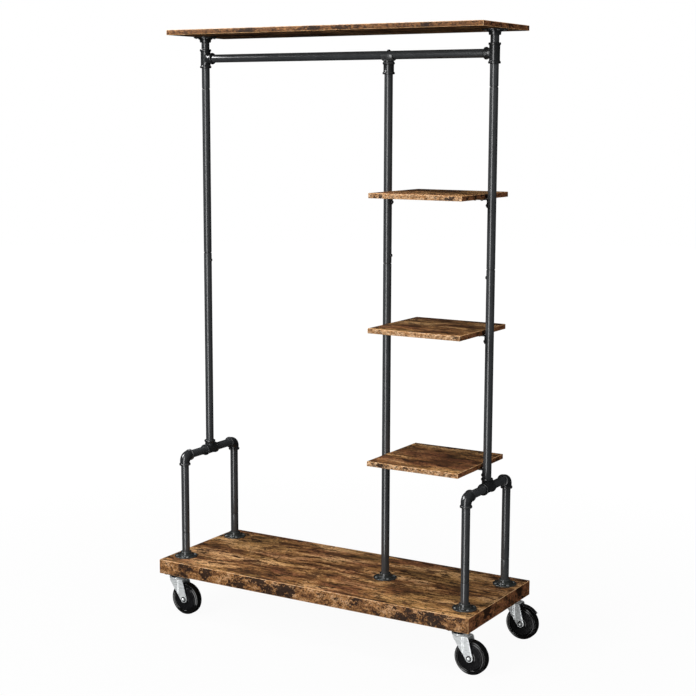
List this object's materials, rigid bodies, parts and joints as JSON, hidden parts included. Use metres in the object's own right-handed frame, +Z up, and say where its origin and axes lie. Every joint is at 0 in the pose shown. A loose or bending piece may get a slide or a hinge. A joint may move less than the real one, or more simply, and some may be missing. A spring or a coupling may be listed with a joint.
{
  "type": "rolling clothes rack",
  "caption": "Rolling clothes rack with a black pipe frame, a hanging rail, wooden side shelves, a wooden top shelf and a thick base board on swivel casters.",
  "frame": {"origin": "on the floor, under the middle of the base board", "axes": "+X along the rack towards the side shelves, +Y from the front to the rear, +Z up"},
  "size_m": [1.146, 0.42, 1.835],
  "materials": {
    "wood": "rustic brown, satin",
    "pipe": "black, satin",
    "fitting": "black cast, satin",
    "bolt": "black, satin",
    "sleeve": "plain steel",
    "zinc": "bright zinc",
    "race": "dark, satin",
    "ball": "polished",
    "hub": "black moulded",
    "tyre": "black moulded"
  },
  "bodies": {
    "rack": {"base_board": "wood", "top_shelf": "wood", "shelf_upper": "wood", "shelf_middle": "wood", "shelf_lower": "wood", "leg_nipples": "pipe", "hoop_pipes": "pipe", "upright_tops": "pipe", "top_nipples": "pipe", "inner_post_lower": "pipe", "inner_post_upper": "pipe", "hanging_rail": "pipe", "leg_front_left": "pipe", "leg_front_right": "pipe", "leg_rear_left": "pipe", "leg_rear_right": "pipe", "upright_lower_left": "pipe", "upright_lower_right": "pipe", "upright_upper_left": "pipe", "upright_upper_right": "pipe", "base_flanges_left": "fitting", "base_flanges_right": "fitting", "inner_base_flange": "fitting", "top_flanges": "fitting", "saddle_tee": "fitting", "hoop_tee_left": "fitting", "hoop_tee_right": "fitting", "top_tee_left": "fitting", "top_tee_right": "fitting", "elbow_front_left": "fitting", "elbow_front_right": "fitting", "elbow_rear_left": "fitting", "elbow_rear_right": "fitting", "shelf_brackets": "bolt", "board_screws": "bolt", "shelf_screws": "bolt", "pipe_bolts": "bolt", "rail_bolt": "bolt", "joint_sleeves": "sleeve", "caster_plates": "race", "swivel_balls": "ball"},
    "caster_front_left": {"fork_front_left": "zinc", "axle_front_left": "zinc"},
    "wheel_front_left": {"wheel_hub_front_left": "hub", "tyre_front_left": "tyre"},
    "caster_front_right": {"fork_front_right": "zinc", "axle_front_right": "zinc"},
    "wheel_front_right": {"wheel_hub_front_right": "hub", "tyre_front_right": "tyre"},
    "caster_rear_left": {"fork_rear_left": "zinc", "axle_rear_left": "zinc"},
    "wheel_rear_left": {"wheel_hub_rear_left": "hub", "tyre_rear_left": "tyre"},
    "pedal_rear_left": {"brake_pedal_rear_left": "bolt"},
    "caster_rear_right": {"fork_rear_right": "zinc", "axle_rear_right": "zinc"},
    "wheel_rear_right": {"wheel_hub_rear_right": "hub", "tyre_rear_right": "tyre"},
    "pedal_rear_right": {"brake_pedal_rear_right": "bolt"}
  },
  "joints": [
    {"name": "swivel_front_left", "type": "hinge", "parent": "rack", "child": "caster_front_left", "pos_m": [-0.507, -0.174, 0.1145], "axis": [0, 0, 1], "continuous": true},
    {"name": "roll_front_left", "type": "hinge", "parent": "caster_front_left", "child": "wheel_front_left", "pos_m": [-0.469, -0.174, 0.051], "axis": [0, 1, 0], "continuous": true},
    {"name": "swivel_front_right", "type": "hinge", "parent": "rack", "child": "caster_front_right", "pos_m": [0.507, -0.174, 0.1145], "axis": [0, 0, 1], "continuous": true},
    {"name": "roll_front_right", "type": "hinge", "parent": "caster_front_right", "child": "wheel_front_right", "pos_m": [0.545, -0.174, 0.051], "axis": [0, 1, 0], "continuous": true},
    {"name": "swivel_rear_left", "type": "hinge", "parent": "rack", "child": "caster_rear_left", "pos_m": [-0.507, 0.174, 0.1145], "axis": [0, 0, 1], "continuous": true},
    {"name": "roll_rear_left", "type": "hinge", "parent": "caster_rear_left", "child": "wheel_rear_left", "pos_m": [-0.469, 0.174, 0.051], "axis": [0, 1, 0], "continuous": true},
    {"name": "brake_rear_left", "type": "hinge", "parent": "caster_rear_left", "child": "pedal_rear_left", "pos_m": [-0.477, 0.174, 0.1065], "axis": [0, 1, 0], "range_deg": [-10, 3]},
    {"name": "swivel_rear_right", "type": "hinge", "parent": "rack", "child": "caster_rear_right", "pos_m": [0.507, 0.174, 0.1145], "axis": [0, 0, 1], "continuous": true},
    {"name": "roll_rear_right", "type": "hinge", "parent": "caster_rear_right", "child": "wheel_rear_right", "pos_m": [0.545, 0.174, 0.051], "axis": [0, 1, 0], "continuous": true},
    {"name": "brake_rear_right", "type": "hinge", "parent": "caster_rear_right", "child": "pedal_rear_right", "pos_m": [0.537, 0.174, 0.1065], "axis": [0, 1, 0], "range_deg": [-10, 3]}
  ]
}
